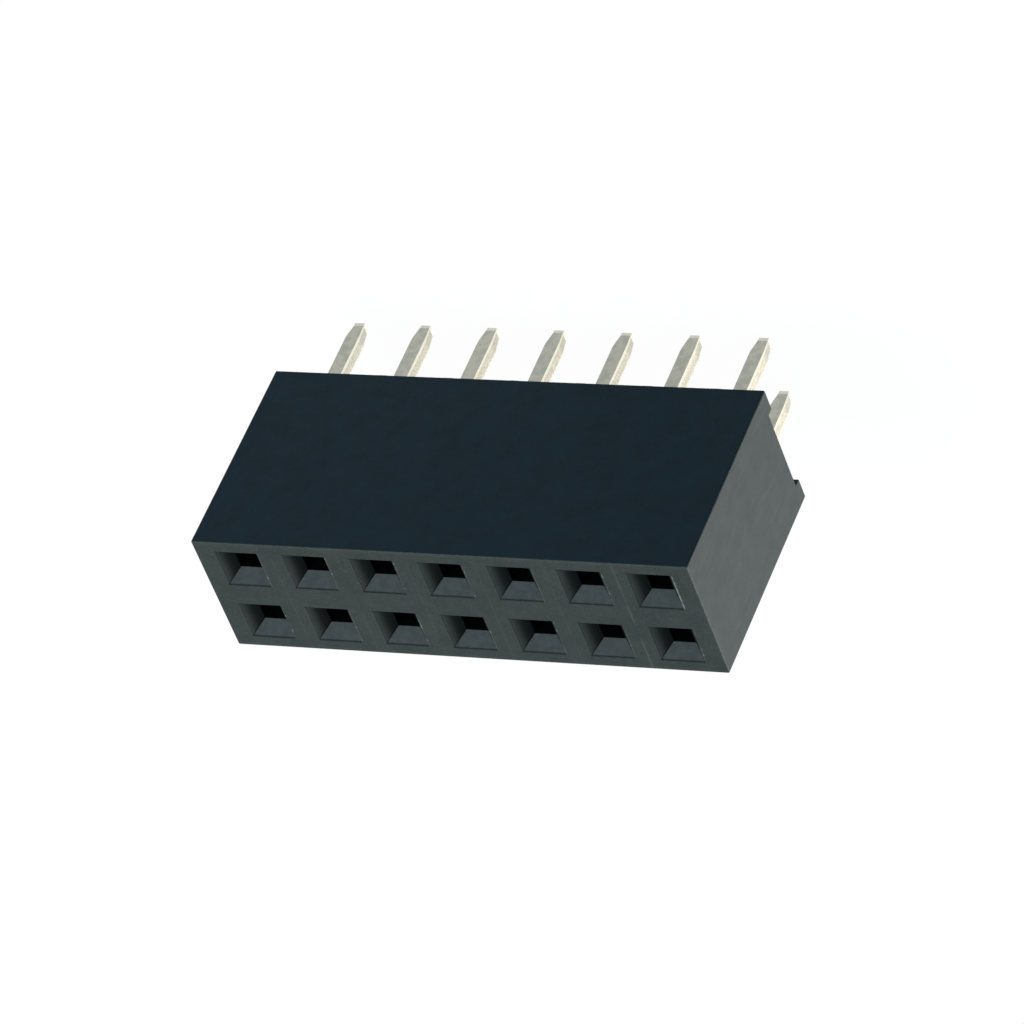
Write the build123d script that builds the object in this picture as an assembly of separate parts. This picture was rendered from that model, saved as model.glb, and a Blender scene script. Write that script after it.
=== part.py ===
from build123d import *
import math
import os

# Layout of the positions. All lengths are in millimetres.
pitch = 2.54  # between neighbouring positions, along the header and across it
columns = 7
rows = 2

# Housing, outside. The board is at z = 0 and the mating face looks up.
end_reach = 1.53  # from the last column's axis to the end face
side_reach = 1.27  # from a row's axis to the long face beside it
mating_height = 8.0  # from the board to the mating face
rib_width = 0.85  # the standoff rib under each long face
rib_height = 0.3
corner_radius = 0.06  # upright corners
rim_radius = 0.05  # edge of the mating face

# Housing, the cavity of one position, from the mating face down
mouth_side = 1.6
mouth_ease = 0.02  # broken edge of the mouth
mouth_land = 0.03  # straight sides of the mouth, above the slopes
funnel_depth = 0.5  # from the mating face to the throat
throat_side = 0.8
throat_length = 0.5  # plastic between the funnel and the tine chamber
pin_depth = 6.1  # how far a mating pin can go in
chamber_room = 0.1  # beside each tine, so that it can spread
strip_clearance = 0.03  # on each flat side of the terminal
pocket_lead = 0.08  # broken edge where the terminal is pushed in

# Terminal, blanked from flat strip and plated
strip = 0.5  # strip thickness, which is also the side of the square tail
fork_gap = 0.8  # between the tines
contact_gap = 0.5  # between the two contact points, with no pin in
tine_root = 0.4  # width of a tine where it leaves the yoke
tine_lean = 0.16  # how far a tine's outer side leans in towards its tip
tip_gap = 0.86  # between the tine tips, where a pin is led in
tip_clearance = 0.4  # from the tine tips to the roof of the chamber
contact_drop = 0.65  # from the tine tips down to the contact points
contact_rise = 1.0  # height over which a tine swells to its contact point
contact_radius = 0.3
tip_break = 0.05  # rounded inner corner of a tine tip
shoulder = 0.2  # the yoke's step on each side, which seats under the housing's ledge
yoke_height = 1.3
yoke_recess = 0.15  # from the floor between the ribs up to the yoke
barb_reach = 0.04  # each barb stands out to the pocket wall
barb_height = 0.35
barb_land = 0.1  # flat top of a barb, which bears on the plastic
barb_drop = 0.2  # from the shoulder down to the first barb
barb_pitch = 0.5
root_radius = 0.15  # where the tail leaves the yoke

# Tail, below the board
tail_reach = 3.5  # from the board to the tail's end
point_length = 0.75  # from the full section to the end
point_cap = 0.15  # the small straight end
point_width = 0.36  # of that end, in the plane of the strip, as blanked
point_thickness = 0.38  # of that end, across the strip, as coined
point_break = 0.04  # broken edge of the end
point_blend = 1.2  # radius where the sides turn in towards the point

# Sizes that follow
length = (columns - 1) * pitch + 2 * end_reach
width = (rows - 1) * pitch + 2 * side_reach
fork_width = fork_gap + 2 * tine_root
yoke_width = fork_width + 2 * shoulder
slot_thickness = strip + 2 * strip_clearance
chamber_width = fork_width + 2 * chamber_room
pocket_width = yoke_width + 2 * barb_reach
yoke_bottom = rib_height + yoke_recess
ledge_z = yoke_bottom + yoke_height
chamber_top = mating_height - funnel_depth - throat_length
tine_top = chamber_top - tip_clearance
tail_top = yoke_bottom - root_radius
point_top = point_length - tail_reach


def positions():
    """The axes of all positions: column after column, and across the rows within each."""
    return GridLocations(pitch, pitch, columns, rows)


def square_funnel(top_side, bottom_side, depth):
    """A pyramid frustum that hangs from z = 0."""
    lean = math.degrees(math.atan2((top_side - bottom_side) / 2, depth))
    return extrude(Rectangle(top_side, top_side), amount=depth, dir=(0, 0, -1), taper=lean)


def slot(slot_width, thickness, bottom, top):
    """A straight upright slot from bottom to top."""
    return extrude(Pos(0, 0, bottom) * Rectangle(slot_width, thickness), amount=top - bottom)


def cavity():
    """What the core pins of one position leave open: funnel, pin well, tine chamber, yoke pocket."""
    slope_top = mating_height - mouth_land
    throat_top = mating_height - funnel_depth
    hollow = Pos(0, 0, slope_top) * square_funnel(mouth_side, throat_side, slope_top - throat_top)
    hollow += slot(mouth_side, mouth_side, slope_top, mating_height)
    eased_side = mouth_side + 2 * mouth_ease
    hollow += Pos(0, 0, mating_height) * square_funnel(eased_side, mouth_side, mouth_ease)
    hollow += slot(throat_side, throat_side, mating_height - pin_depth, throat_top)
    hollow += slot(chamber_width, slot_thickness, ledge_z, chamber_top)
    hollow += slot(pocket_width, slot_thickness, rib_height, ledge_z)
    lead = Rectangle(pocket_width + 2 * pocket_lead, slot_thickness + 2 * pocket_lead)
    hollow += extrude(Pos(0, 0, rib_height) * lead, amount=pocket_lead, taper=45)
    return hollow


def housing():
    """The moulding: a block with a rib under each long face, and a cavity at each position."""
    channel = Pos(0, rib_height / 2) * Rectangle(width - 2 * rib_width, rib_height)
    section = Pos(0, mating_height / 2) * Rectangle(width, mating_height) - channel
    block = extrude(Plane.YZ * section, amount=length / 2, both=True)
    inside_ribs = width / 2 - rib_width / 2
    upright = block.edges().filter_by(Axis.Z)
    block = fillet(upright.filter_by(lambda e: abs(e.center().Y) > inside_ribs), corner_radius)
    rim = block.faces().sort_by(Axis.Z)[-1].outer_wire().edges()
    block = fillet(rim, rim_radius)
    core = cavity()
    return block - [place * core for place in positions()]


def mirrored_face(right_half):
    """The face inside a right half outline and its mirror image."""
    outline = Curve() + right_half
    return make_face(outline + mirror(outline, about=Plane.YZ))


def tail_side(end_size):
    """The right side of the tail seen square on, from its root down to the middle of its end."""
    cap_side = end_size / 2
    cap_edge = (cap_side, point_break - tail_reach)
    return [
        FilletPolyline(
            (strip / 2, tail_top),
            (strip / 2, point_top),
            (cap_side, point_cap - tail_reach),
            cap_edge,
            radius=[point_blend, point_cap],
        ),
        Polyline(cap_edge, (cap_side - point_break, -tail_reach), (0, -tail_reach)),
    ]


def barb(top):
    """One barb on the yoke's right side, from its upper end down: ramp, land, bite."""
    edge = yoke_width / 2
    low = top - barb_height
    return [(edge, top), (edge + barb_reach, low + barb_land), (edge + barb_reach, low), (edge, low)]


def terminal():
    """A two-tine fork on a barbed yoke, blanked in one outline with its tail, then coined."""
    root_centre = ledge_z + fork_gap / 2
    contact_z = tine_top - contact_drop
    tip = (fork_width / 2 - tine_lean, tine_top)
    tail_root = (strip / 2 + root_radius, yoke_bottom)
    sides = [
        CenterArc((0, root_centre), fork_gap / 2, 270, 90),
        FilletPolyline(
            (fork_gap / 2, root_centre),
            (fork_gap / 2, contact_z - contact_rise),
            (contact_gap / 2, contact_z),
            (tip_gap / 2, tine_top),
            tip,
            radius=[contact_radius, contact_radius, tip_break],
        ),
        Polyline(
            tip,
            (fork_width / 2, root_centre),
            (fork_width / 2, ledge_z),
            (yoke_width / 2, ledge_z),
            *barb(ledge_z - barb_drop),
            *barb(ledge_z - barb_drop - barb_pitch),
            (yoke_width / 2, yoke_bottom),
            tail_root,
        ),
        TangentArc(tail_root, (strip / 2, tail_top), tangent=(-1, 0)),
        *tail_side(point_width),
    ]
    blank = extrude(Plane.XZ * mirrored_face(sides), amount=strip / 2, both=True)
    flat = Polyline((0, tine_top), (strip / 2, tine_top), (strip / 2, tail_top))
    edge_view = mirrored_face([flat, *tail_side(point_thickness)])
    return blank & extrude(Plane.YZ * edge_view, amount=yoke_width, both=True)


os.makedirs("parts", exist_ok=True)
export_step(housing(), "parts/housing.step")
contact = terminal()
for number, place in enumerate(positions()):
    row, column = number % rows, number // rows
    name = f"terminal_row{row + 1}_column{column + 1}"
    export_step(place * contact, f"parts/{name}.step")
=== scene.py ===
import bpy
from mathutils import Matrix, Vector


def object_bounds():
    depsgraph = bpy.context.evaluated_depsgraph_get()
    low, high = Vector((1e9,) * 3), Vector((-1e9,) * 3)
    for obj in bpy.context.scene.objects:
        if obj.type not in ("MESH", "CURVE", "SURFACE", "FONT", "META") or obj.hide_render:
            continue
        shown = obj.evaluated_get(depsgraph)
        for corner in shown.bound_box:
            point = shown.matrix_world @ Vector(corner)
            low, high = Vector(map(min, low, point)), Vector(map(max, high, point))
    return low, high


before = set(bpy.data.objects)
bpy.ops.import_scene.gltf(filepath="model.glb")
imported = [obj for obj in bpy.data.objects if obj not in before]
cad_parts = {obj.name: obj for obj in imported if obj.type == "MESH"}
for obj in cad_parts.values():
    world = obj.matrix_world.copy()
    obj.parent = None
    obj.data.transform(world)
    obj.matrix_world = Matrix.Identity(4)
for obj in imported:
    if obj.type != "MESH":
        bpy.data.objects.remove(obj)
cad_low, cad_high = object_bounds()


# Housing
# One block of black glass-filled thermoplastic, injection moulded round core pins that leave a
# funnelled square socket at each position. Its skin is satin, with a faint mottle from the fibres,
# fine lines where the blocks of the mould's core meet, and light wear from handling. Its colour
# also
# holds painted light and shade: darker long faces, pale slopes and dark wells in the mouths, and
# painted highlights on the mouths' rims.
MM = 0.001


class Shade:
    """A socket in a material, so that shader maths reads as plain expressions."""

    def __init__(self, tree, socket=None):
        self.tree = tree
        self.socket = socket

    def add(self, kind, settings, sockets, out=0):
        """Any other node: its settings first, then values or links for its sockets."""
        node = self.tree.nodes.new(kind)
        for name, value in settings.items():
            setattr(node, name, value)
        for name, value in sockets.items():
            if isinstance(value, Shade):
                self.tree.links.new(value.socket, node.inputs[name])
            else:
                node.inputs[name].default_value = value
        return Shade(self.tree, node.outputs[out])

    def math(self, operation, *values):
        return self.add("ShaderNodeMath", {"operation": operation}, dict(enumerate(values)))

    def __add__(self, other):
        return self.math("ADD", self, other)

    def __sub__(self, other):
        return self.math("SUBTRACT", self, other)

    def __rsub__(self, other):
        return self.math("SUBTRACT", other, self)

    def __mul__(self, other):
        return self.math("MULTIPLY", self, other)

    def __truediv__(self, other):
        return self.math("DIVIDE", self, other)

    __radd__ = __add__
    __rmul__ = __mul__

    def size(self):
        return self.math("ABSOLUTE", self)

    def between(self, low, high):
        """0 at low, 1 at high, smooth between them and held beyond."""
        sockets = {"Value": self, "From Min": low, "From Max": high}
        return self.add("ShaderNodeMapRange", {"interpolation_type": "SMOOTHSTEP"}, sockets)

    def mix(self, first, second):
        """The first colour where this is 0, and the second where it is 1."""
        sockets = {"Factor": self, 6: first, 7: second}
        return self.add("ShaderNodeMix", {"data_type": "RGBA"}, sockets, out=2)

    def lean(self, first, second):
        """The first direction where this is 0, and the second where it is 1."""
        sockets = {"Factor": self, 4: first, 5: second}
        return self.add("ShaderNodeMix", {"data_type": "VECTOR"}, sockets, out=1)

    def noise(self, place, scale, detail=2.0, roughness=0.5):
        """Noise from 0 to 1 about 0.5 over a place in millimetres, so scale is per millimetre."""
        sockets = {"Vector": place, "Scale": scale, "Detail": detail, "Roughness": roughness}
        return self.add("ShaderNodeTexNoise", {}, sockets)


def new_material(name):
    """A material with its shader, a Shade to start from, and the place on the piece in mm."""
    material = bpy.data.materials.new(name)
    material.use_nodes = True
    tree = material.node_tree
    shade = Shade(tree)
    metres = shade.add("ShaderNodeTexCoord", {}, {}, out=3)
    place = shade.add("ShaderNodeVectorMath", {"operation": "SCALE"}, {0: metres, "Scale": 1 / MM})
    return material, tree.nodes["Principled BSDF"], shade, place


def axes_of(place):
    """The three coordinates of a place or a normal."""
    split = place.add("ShaderNodeSeparateXYZ", {}, {"Vector": place})
    return [Shade(split.tree, output) for output in split.socket.node.outputs]


def normal_of(shade):
    """The three coordinates of the piece's own normal."""
    return axes_of(shade.add("ShaderNodeTexCoord", {}, {}, out=1))


def connect(shader, **shades):
    """Links shades to the shader's sockets, which are named with underscores for spaces."""
    for name, shade in shades.items():
        shade.tree.links.new(shade.socket, shader.inputs[name.replace("_", " ")])


def bump(shade, **sockets):
    """Relief of a height that varies, for a shader's Normal."""
    return shade.add("ShaderNodeBump", {}, sockets)


# Sizes are in millimetres.
PITCH = 2.54
LAST_COLUMN = 3 * PITCH  # from the middle to the axis of the last column
MATING_HEIGHT = 8.0
LONG_FACE_REACH = 2.54  # from the middle to each long face
CORNER = 0.06  # radius of the upright corners
FUNNEL_DEPTH = 0.5
MOUTH_REACH = 0.82  # from a mouth's axis to its broken edge
PLAIN_INSIDE = 1.0  # up to this height the inner walls keep the tone of the outside
LINE_ASIDE = 0.04  # from the middle of a web to the mould's line on it
PLAIN_LINE = -2.5 * PITCH  # the web whose line is plain to see
# The long faces' colours are partly the plastic's tone and partly painted shade, most at -Y.
NEAR_FACE_PAINTED_SHADE_DARK = (0.009, 0.026, 0.038, 1)  # the long face at -Y
NEAR_FACE_PAINTED_SHADE_PALE = (0.021, 0.048, 0.067, 1)
FAR_FACE_TONE_AND_SHADE_DARK = (0.019, 0.027, 0.030, 1)  # the long face at +Y
FAR_FACE_TONE_AND_SHADE_PALE = (0.031, 0.041, 0.044, 1)
OTHER_FACES_DARK = (0.035, 0.046, 0.047, 1)
OTHER_FACES_LIGHT = (0.059, 0.070, 0.069, 1)
# Painted light for the slopes of the mouths that face the long faces.
SLOPE_PAINTED_LIGHT_DARK = (0.064, 0.082, 0.092, 1)
SLOPE_PAINTED_LIGHT_PALE = (0.080, 0.098, 0.107, 1)
# Painted shade, near black, for the deep well, the darkened end walls and the slopes' rims.
WELL_PAINTED_SHADE = (0.004, 0.005, 0.005, 1)
# Used for real rubbing, mould lines and scuffs, and for painted highlights on the mouths' rims.
RUBBED_AND_HIGHLIGHT = (0.085, 0.098, 0.090, 1)
# Painted light for the rim of the end walls, where the lamps don't reach.
RIM_PAINTED_LIGHT = (0.16, 0.17, 0.15, 1)
# A painted glint on the mouths' rims.
RIM_GLINT = (0.29, 0.31, 0.295, 1)
plastic, shader, shade, place = new_material("housing_plastic")
shader.inputs["Specular IOR Level"].default_value = 0.1
x, y, z = axes_of(place)
normal = normal_of(shade)

mottle = shade.noise(place, 1.3, detail=4, roughness=0.6)
speckle = shade.noise(place, 14)
grain = shade.noise(place, 30, detail=3, roughness=0.6)
tone = ((mottle - 0.5) * 0.7 + (speckle - 0.5) * 0.9 + 0.5).between(0.1, 0.9)
soft_tone = ((mottle - 0.5) * 0.9 + (speckle - 0.5) * 0.4 + 0.5).between(0.1, 0.9)

# The long faces are darker than the mating face and the ends, partly the plastic's own tone and
# partly painted shade. The one at -Y is painted darker and a little blue, painted shade under the
# cool light of the room.
outside = y.size().between(LONG_FACE_REACH - CORNER, LONG_FACE_REACH - 0.01)
long_face = normal[1].size().between(0.6, 0.95) * outside
long_face_tone_and_shade = y.between(-1.0, 1.0).mix(
    soft_tone.mix(NEAR_FACE_PAINTED_SHADE_DARK, NEAR_FACE_PAINTED_SHADE_PALE), tone.mix(FAR_FACE_TONE_AND_SHADE_DARK, FAR_FACE_TONE_AND_SHADE_PALE)
)
colour = long_face.mix(tone.mix(OTHER_FACES_DARK, OTHER_FACES_LIGHT), long_face_tone_and_shade)

# Inside a mouth, measured from its own axis: the slopes towards the long faces are painted pale,
# as painted light, with painted shade along their rims. Those towards the ends roll in from a
# rounded rim with painted light on it, and are painted darker down to the pin well as painted
# shade, with a painted shadow along each valley and painted black shade in the well.
from_axis = x.math("FLOORED_MODULO", x + PITCH / 2, PITCH) - PITCH / 2
across = from_axis.size()
along = (y.size() - PITCH / 2).size()
inside = 1 - across.between(MOUTH_REACH, MOUTH_REACH + 0.01)
inside = inside * (1 - along.between(MOUTH_REACH, MOUTH_REACH + 0.01))
inside = inside * (1 - normal[2].size().between(0.8, 0.95))
inside = inside * z.between(PLAIN_INSIDE, PLAIN_INSIDE + 1.0)
down = (MATING_HEIGHT - z) / FUNNEL_DEPTH
end_wall = normal[0].size().between(0.5, 0.65)
# A painted shadow along the valley where an end wall meets a slope, widening with depth.
valley_shadow = 1 - (across - along).between(0.0, 0.05 + down.between(0.0, 0.9) * 0.5)
shaded = shade.math("MAXIMUM", down.between(0.0, 0.6) * 0.87, valley_shadow * 0.97)
well_shade_mask = down.between(0.98, 1.04)
slope_patches = shade.noise(place, 4, detail=3, roughness=0.6).between(0.35, 0.65)
# The slopes towards the long faces are painted pale in patches, as painted light.
colour = (inside * (1 - end_wall)).mix(colour, slope_patches.mix(SLOPE_PAINTED_LIGHT_DARK, SLOPE_PAINTED_LIGHT_PALE))
at_rim = inside * (1 - down.between(0.07, 0.13))
# Painted light on the rim of the end walls.
colour = (at_rim * end_wall * 0.17).mix(colour, RIM_PAINTED_LIGHT)
# Painted shade on the rim of the slopes towards the long faces.
colour = (at_rim * (1 - end_wall) * 0.6).mix(colour, WELL_PAINTED_SHADE)
# Painted shade darkening the end walls with depth and along the valley, and painted black in the
# well.
colour = (inside * shade.math("MAXIMUM", end_wall * shaded, well_shade_mask)).mix(colour, WELL_PAINTED_SHADE)
rolled_in = inside * end_wall * (1 - down.between(0.15, 0.95))
facing = rolled_in.lean(shade.add("ShaderNodeNewGeometry", {}, {}, out=1), (0, 0, 1))

# Where the blocks of the mould's core meet, a fine line runs across a web of the mating face. One
# near the -X end is plain to see, and the others are faint.
on_top = z.between(MATING_HEIGHT - 0.03, MATING_HEIGHT - 0.005)
from_line = (x.math("FLOORED_MODULO", x, PITCH) - PITCH / 2 + LINE_ASIDE).size()
between_columns = on_top * (1 - x.size().between(LAST_COLUMN, LAST_COLUMN + 0.3))
plain = 1 - x.between(PLAIN_LINE + 0.75, PLAIN_LINE + 1.75)
worn = shade.noise(place, 1.3).between(0.3, 0.6)
line = (1 - from_line.between(0.02, 0.05)) * between_columns * (0.2 + plain * 0.5) * worn
colour = line.mix(colour, RUBBED_AND_HIGHLIGHT)

# One rim of each mouth is painted paler beside it, a painted highlight, with some bright painted
# glints. The rim of the last mouth of one row carries a painted highlight all along.
from_rim = (from_axis + (MOUTH_REACH + 0.01)).size()
beside_mouth = on_top * (1 - from_rim.between(0.01, 0.05)) * (1 - along.between(0.7, 0.84))
rim_highlight = beside_mouth * shade.noise(place, 1.1).between(0.35, 0.6)
colour = (rim_highlight * 0.8).mix(colour, RUBBED_AND_HIGHLIGHT)
last_mouth = (1 - x.between(-LAST_COLUMN - 0.38, -LAST_COLUMN + 0.02)) * (1 - y.between(-0.4, 0.0))
glint_flecks = shade.noise(place, 5)
glint_flecks = glint_flecks.between(0.56, 0.66) * 0.5 + last_mouth * glint_flecks.between(0.2, 0.55) * 0.8
colour = (beside_mouth * glint_flecks).mix(colour, RIM_GLINT)

# The long edges of the mating face are speckled where the skin is broken.
at_edge = y.size().between(LONG_FACE_REACH - 0.2, LONG_FACE_REACH - CORNER) * on_top
broken = at_edge * shade.noise(place, 22).between(0.5, 0.62)
colour = (broken * 0.6).mix(colour, RUBBED_AND_HIGHLIGHT)

# Light scuffs on the end faces and the mating face, from trays and fingers.
streaked = shade.add("ShaderNodeVectorMath", {"operation": "MULTIPLY"}, {0: place, 1: (5, 7, 0.7)})
scuffs = shade.noise(streaked, 1, detail=3).between(0.58, 0.7) * (1 - long_face) * (1 - inside)
colour = (scuffs * 0.22).mix(colour, RUBBED_AND_HIGHLIGHT)

height = grain + speckle * 0.6 + mottle - line * 2
connect(
    shader,
    Base_Color=colour,
    Roughness=0.5 + (speckle - 0.5) * 0.2,
    Normal=bump(shade, Strength=0.35, Distance=0.004 * MM, Height=height, Normal=facing),
)
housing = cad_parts["housing"]
housing.data.materials.clear()
housing.data.materials.append(plastic)


# Terminals
# Fourteen forks blanked from half-millimetre copper alloy strip and tin plated, one pushed into
# each position from below. The rolled faces are satin; the sheared edges have a bright burnished
# band and a grainy torn one. Sizes are in millimetres.
STRIP = 0.5
BURNISHED_BAND = 0.13  # of the strip's thickness, where the punch goes in
BURR = 0.07  # of the strip's thickness, where it comes out
TAIL_END = -3.5
CAP = 0.14  # the small straight end of a tail
TIN_ROLLED = (0.45, 0.45, 0.39, 1)
TIN_DULL = (0.37, 0.385, 0.33, 1)
TIN_BURNISHED = (0.82, 0.79, 0.67, 1)
TIN_TORN = (0.365, 0.365, 0.31, 1)
# Painted light for the small straight end of each tail.
TIN_CAP_PAINTED_LIGHT = (0.72, 0.70, 0.62, 1)
plating, shader, shade, place = new_material("plated_terminal")
shader.inputs["Metallic"].default_value = 1.0
y, z = axes_of(place)[1:]
rolled = shade.noise(place, 5)
crystals = shade.noise(place, 18, detail=4, roughness=0.7)
dull = shade.noise(place, 3.5, detail=4, roughness=0.65).between(0.4, 0.6)

# Depth into the strip from the side the punch comes from, the same way round in both rows.
waver = (shade.noise(place, 1.6, detail=1) - 0.5) * 0.06
depth = y.math("FLOORED_MODULO", y, PITCH) - (PITCH - STRIP) / 2 + waver
sheared = normal_of(shade)[0].size().between(0.5, 0.8)
torn = sheared * depth.between(BURNISHED_BAND - 0.03, BURNISHED_BAND + 0.03)
burr = depth.between(STRIP - BURR, STRIP - 0.03)
cap = 1 - z.between(TAIL_END + CAP, TAIL_END + CAP + 0.06)
colour = sheared.mix(dull.mix(TIN_ROLLED, TIN_DULL), TIN_BURNISHED)
colour = (torn * (0.8 + (crystals - 0.5) * 1.6 - burr * 0.25)).mix(colour, TIN_TORN)
# The small straight end of each tail is painted paler, a painted highlight on its facet.
colour = (cap * (0.75 + (crystals - 0.5) * 1.5)).mix(colour, TIN_CAP_PAINTED_LIGHT)
height = crystals * torn + rolled * 0.2
connect(
    shader,
    Base_Color=colour,
    Roughness=0.36 + (rolled - 0.5) * 0.12 + torn * 0.2,
    Normal=bump(shade, Strength=0.5, Distance=0.012 * MM, Height=height),
)
for name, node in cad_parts.items():
    if name.startswith("terminal"):
        node.data.materials.clear()
        node.data.materials.append(plating)


# Floor, light and camera
# The header stands on its tails on a white sheet. A low strip lamp beyond its end lights the end
# face and the tails, a soft lamp above lights the mating face, and the long face that looks at the
# camera has little more than the cool light of the room.
FLOOR_SIZE = 1.2  # in metres
FLOOR_GREY = (0.20, 0.22, 0.23, 1)
FLOOR_GLOW = 1.15  # strength of the white that the camera and bright pieces see
GLOW_SHARE = 0.85  # the rest is the grey sheet, which keeps the shadow
ROOM_COLOUR = (0.25, 0.72, 1, 1)
ROOM_STRENGTH = 0.28
CAMERA_LENS = 250.2
CAMERA_PLACE = Vector((-105.8, -157.4, 147.4)) * MM
CAMERA_RIGHT = Vector((-0.8953, 0.2937, -0.3349))
CAMERA_UP = Vector((0.0441, -0.6897, -0.7228))
floor_mesh = bpy.data.meshes.new("floor")
half = FLOOR_SIZE / 2
corners = [(sx * half, sy * half, cad_low.z) for sx, sy in ((-1, -1), (1, -1), (1, 1), (-1, 1))]
floor_mesh.from_pydata(corners, [], [(0, 1, 2, 3)])
floor = bpy.data.objects.new("floor", floor_mesh)
bpy.context.scene.collection.objects.link(floor)
sheet, shader, shade, _ = new_material("floor_white")
shader.inputs["Base Color"].default_value = FLOOR_GREY
shader.inputs["Roughness"].default_value = 0.9
shader.inputs["Specular IOR Level"].default_value = 0
path = shade.add("ShaderNodeLightPath", {}, {})
rays = {output.name: Shade(path.tree, output) for output in path.socket.node.outputs}
seen = rays["Is Camera Ray"] + rays["Is Glossy Ray"] + rays["Is Transmission Ray"]
seen = seen.math("MINIMUM", seen, 1.0) * GLOW_SHARE
grey = Shade(sheet.node_tree, shader.outputs[0])
glow = shade.add("ShaderNodeEmission", {}, {"Color": (1, 1, 1, 1), "Strength": FLOOR_GLOW})
shown = shade.add("ShaderNodeMixShader", {}, {0: seen, 1: grey, 2: glow})
connect(sheet.node_tree.nodes["Material Output"], Surface=shown)
floor_mesh.materials.append(sheet)


def soft_lamp(name, place_mm, size_mm, power, colour):
    """A soft box of a width and height, at a place, aimed at the middle of the header."""
    lamp = bpy.data.lights.new(name, "AREA")
    lamp.shape = "RECTANGLE"
    lamp.size, lamp.size_y = (side * MM for side in size_mm)
    lamp.energy = power
    lamp.color = colour
    holder = bpy.data.objects.new(name, lamp)
    holder.location = Vector(place_mm) * MM
    holder.rotation_mode = "QUATERNION"
    holder.rotation_quaternion = (-holder.location).to_track_quat("-Z", "Y")
    bpy.context.scene.collection.objects.link(holder)


soft_lamp("low_strip_at_the_end", (-171, 120, 3), (50, 12), 0.73, (1.0, 0.94, 0.88))
soft_lamp("soft_from_above", (60, -10, 192), (100, 100), 0.385, (1.0, 0.90, 0.78))

world = bpy.data.worlds.new("studio")
world.use_nodes = True
bpy.context.scene.world = world
background = world.node_tree.nodes["Background"]
background.inputs["Color"].default_value = ROOM_COLOUR
background.inputs["Strength"].default_value = ROOM_STRENGTH

# The camera's place and axes were fitted to the photograph's corners and sockets.
camera_data = bpy.data.cameras.new("camera")
camera_data.lens = CAMERA_LENS
camera_data.sensor_width = 36
camera_data.clip_start = 0.01
camera_data.clip_end = 10
camera = bpy.data.objects.new("camera", camera_data)
back = CAMERA_RIGHT.cross(CAMERA_UP)
turn = Matrix((CAMERA_RIGHT, CAMERA_UP, back)).transposed().to_4x4()
camera.matrix_world = Matrix.Translation(CAMERA_PLACE) @ turn
bpy.context.scene.collection.objects.link(camera)
bpy.context.scene.camera = camera
bpy.context.scene.view_settings.view_transform = "Standard"
